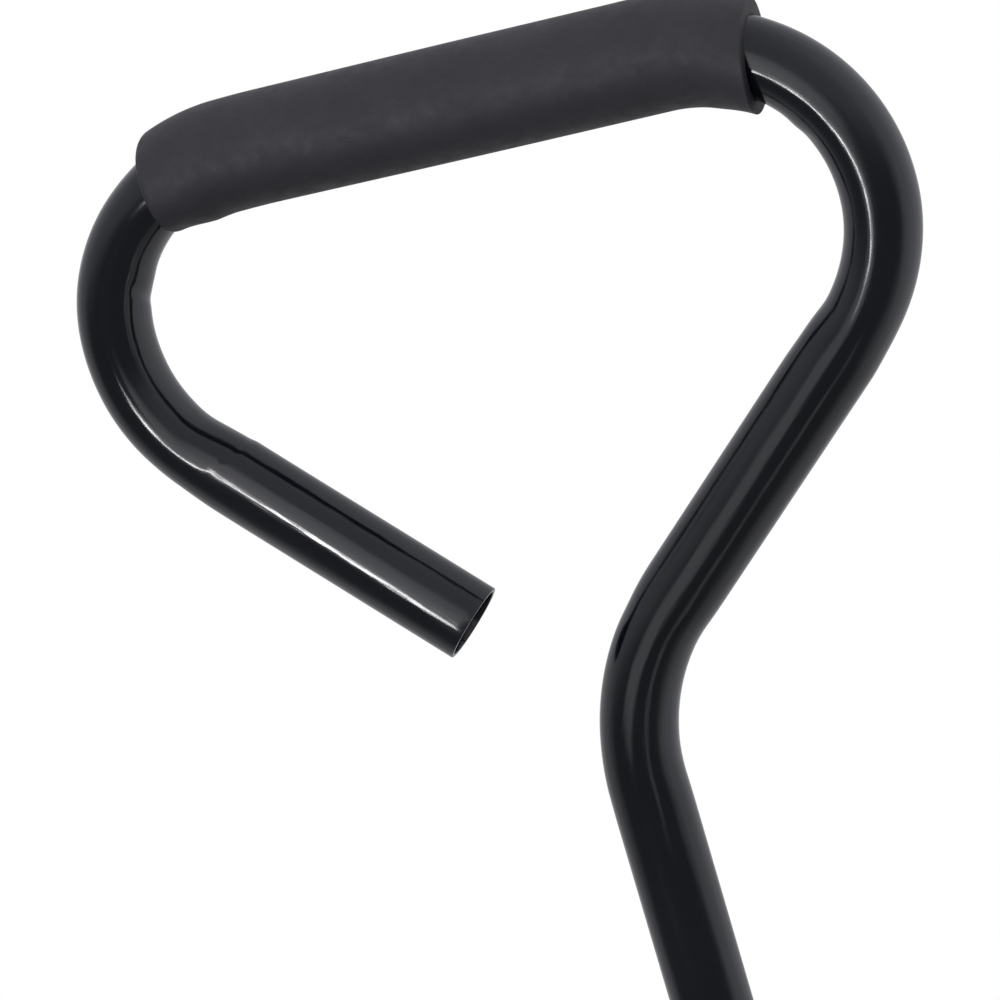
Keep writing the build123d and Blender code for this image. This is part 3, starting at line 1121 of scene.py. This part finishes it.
def lamp(name, place, aim, width, height, radiance):
    """Makes an area lamp. Its power is its radiance times pi times its area."""
    data = bpy.data.lights.new(name, "AREA")
    data.shape = "RECTANGLE"
    data.size = width
    data.size_y = height
    data.energy = radiance * pi * width * height
    made = bpy.data.objects.new(name, data)
    made.location = place
    made.rotation_mode = "QUATERNION"
    made.rotation_quaternion = (Vector(aim) - Vector(place)).to_track_quat("-Z", "Y")
    made.visible_camera = False
    bpy.context.scene.collection.objects.link(made)
    print(f"{name}: {data.energy:.2f} W")
    return made


subject = (0.0, 0.0, 0.48)
slim_lamp = lamp("slim_lamp", (-0.24, -0.70, 0.455), subject, 0.032, 0.31, 44.0)
slim_lamp.visible_diffuse = False

# %% [markdown]
# ## The cards
# A large sheet glows up and to the right of the lamp, brightest beside it, and gives the soft
# band next to the line. Whoever lights a gloss object and doesn't want the lamp's line in one
# part of it also holds a small card in front of that part. Such cards stand here before the
# diagonal and before the top of the left bend. Each has its own dim glow, and grows clear
# towards its edges, so that the line fades and doesn't stop dead.

# %% Make the cards


def card(name, begin, side_one, side_two, level, hides):
    """Makes a flat upright sheet from a corner (x, y, z) and its two sides (x, z).

    level and hides give its glow and how much it hides. Each is a function of the shares u and v
    of the two sides, worked out for all the points of a 40 by 40 grid at once.
    """
    u = np.linspace(0.0, 1.0, 40)[:, None]
    v = np.linspace(0.0, 1.0, 40)[None, :]
    x = begin[0] + u * side_one[0] + v * side_two[0]
    z = begin[2] + u * side_one[1] + v * side_two[1]
    points = np.stack([x, np.full_like(x, begin[1]), z], axis=-1)
    numbers = np.arange(u.size * v.size).reshape(u.size, v.size)
    faces = np.stack([numbers[:-1, :-1], numbers[1:, :-1], numbers[1:, 1:], numbers[:-1, 1:]], axis=-1)
    mesh = bpy.data.meshes.new(name)
    mesh.from_pydata(points.reshape(-1, 3).tolist(), [], faces.reshape(-1, 4).tolist())
    for label, rule in (("level", level), ("hides", hides)):
        mark = mesh.attributes.new(label, "FLOAT", "POINT")
        mark.data.foreach_set("value", (rule(u, v) + 0 * x).astype(np.float32).ravel())
    mesh.materials.append(card_glow)
    made = bpy.data.objects.new(name, mesh)
    made.visible_camera = False
    bpy.context.scene.collection.objects.link(made)
    return made


def card_finish():
    """A glow of the attribute level that turns clear where the attribute hides is 0."""
    finish = bpy.data.materials.new("card_glow")
    finish.use_nodes = True
    tree = finish.node_tree
    tree.nodes.clear()
    level = add(tree, "Attribute", attribute_name="level").outputs["Fac"]
    hides = add(tree, "Attribute", attribute_name="hides").outputs["Fac"]
    clear = add(tree, "BsdfTransparent")
    glow = add(tree, "Emission", {"Color": (0.965, 0.975, 1.02, 1.0), "Strength": level})
    mix = add(tree, "MixShader", {0: hides, 1: clear.outputs[0], 2: glow.outputs[0]})
    output = add(tree, "OutputMaterial")
    tree.links.new(mix.outputs[0], output.inputs["Surface"])
    return finish


def sheet_level(u, v):
    """0.75, plus 1.5 that falls evenly to the right, plus 2 that dies away close to the lamp."""
    return 0.75 + 1.5 * (1 - u) + 2.0 * np.exp(-u / 0.06)


def sheet_hides(u, v):
    """Grows clear to the right, at the top, and below a line that rises to the right."""
    right = smooth_step(1 - u, 0.0, 0.35)
    top = smooth_step(1 - v, 0.0, 0.2)
    below = smooth_step(v - 0.45 * u, -0.10, 0.12)
    return right * top * below


card_glow = card_finish()
card("glow_sheet", (-0.222, -0.70, 0.37), (0.62, 0.0), (0.0, 0.66), sheet_level, sheet_hides)

flag_distance = 60 * MM


def flag(name, start, end, half_width, level, start_fade, end_fade):
    """Holds a small card in front of the tube, from one point (x, z) to another.

    It grows clear over start_fade and end_fade at its ends, and over a quarter of its width at
    each side.
    """
    run = (end[0] - start[0], end[1] - start[1])
    length = hypot(*run)
    aside = (-run[1] / length * half_width, run[0] / length * half_width)
    corner = (start[0] - aside[0], -flag_distance, start[1] - aside[1])

    def flag_level(u, v):
        """The same glow all over."""
        return level

    def flag_hides(u, v):
        """Clear at the edges, and full between them."""
        ends = smooth_step(u, 0.0, start_fade / length) * smooth_step(1 - u, 0.0, end_fade / length)
        return ends * smooth_step(1 - np.abs(2 * v - 1), 0.0, 0.55)

    made = card(name, corner, run, (2 * aside[0], 2 * aside[1]), flag_level, flag_hides)
    made.visible_diffuse = False


flag("diagonal_flag", (0.086, 0.531), (-0.034, 0.391), 22 * MM, 1.1, 34 * MM, 30 * MM)
flag("dim_streak_flag", (0.112, 0.470), (0.020, 0.360), 9 * MM, 0.7, 40 * MM, 30 * MM)
flag("left_bend_flag", (-0.117, 0.523), (-0.103, 0.580), 20 * MM, 0.22, 12 * MM, 4 * MM)

# %% [markdown]
# ## The camera
# The camera stands in front, a little to the right and a little above, and it is rolled, as when
# somebody holds it to set the bar slanting across the picture. Its long lens flattens the view.

# %% Make the camera
aim_point = Vector((-0.0176, 0.0, 0.4796))
camera_distance = 1.1213
camera_azimuth = radians(18.45)
camera_elevation = radians(9.38)
camera_roll = radians(16.5)

back = Vector((
    sin(camera_azimuth) * cos(camera_elevation),
    -cos(camera_azimuth) * cos(camera_elevation),
    sin(camera_elevation),
))
level_right = Vector((cos(camera_azimuth), sin(camera_azimuth), 0.0))
level_up = back.cross(level_right)
camera_right = cos(camera_roll) * level_right - sin(camera_roll) * level_up
camera_up = sin(camera_roll) * level_right + cos(camera_roll) * level_up

lens = bpy.data.cameras.new("camera")
lens.lens = 149.34
lens.sensor_width = 36.0
camera = bpy.data.objects.new("camera", lens)
axes = Matrix((camera_right, camera_up, back)).transposed()
camera.matrix_world = Matrix.Translation(aim_point + back * camera_distance) @ axes.to_4x4()
bpy.context.scene.collection.objects.link(camera)
bpy.context.scene.camera = camera
print("camera at", [round(v, 4) for v in camera.matrix_world.translation],
      "right", [round(v, 3) for v in camera_right], "up", [round(v, 3) for v in camera_up])
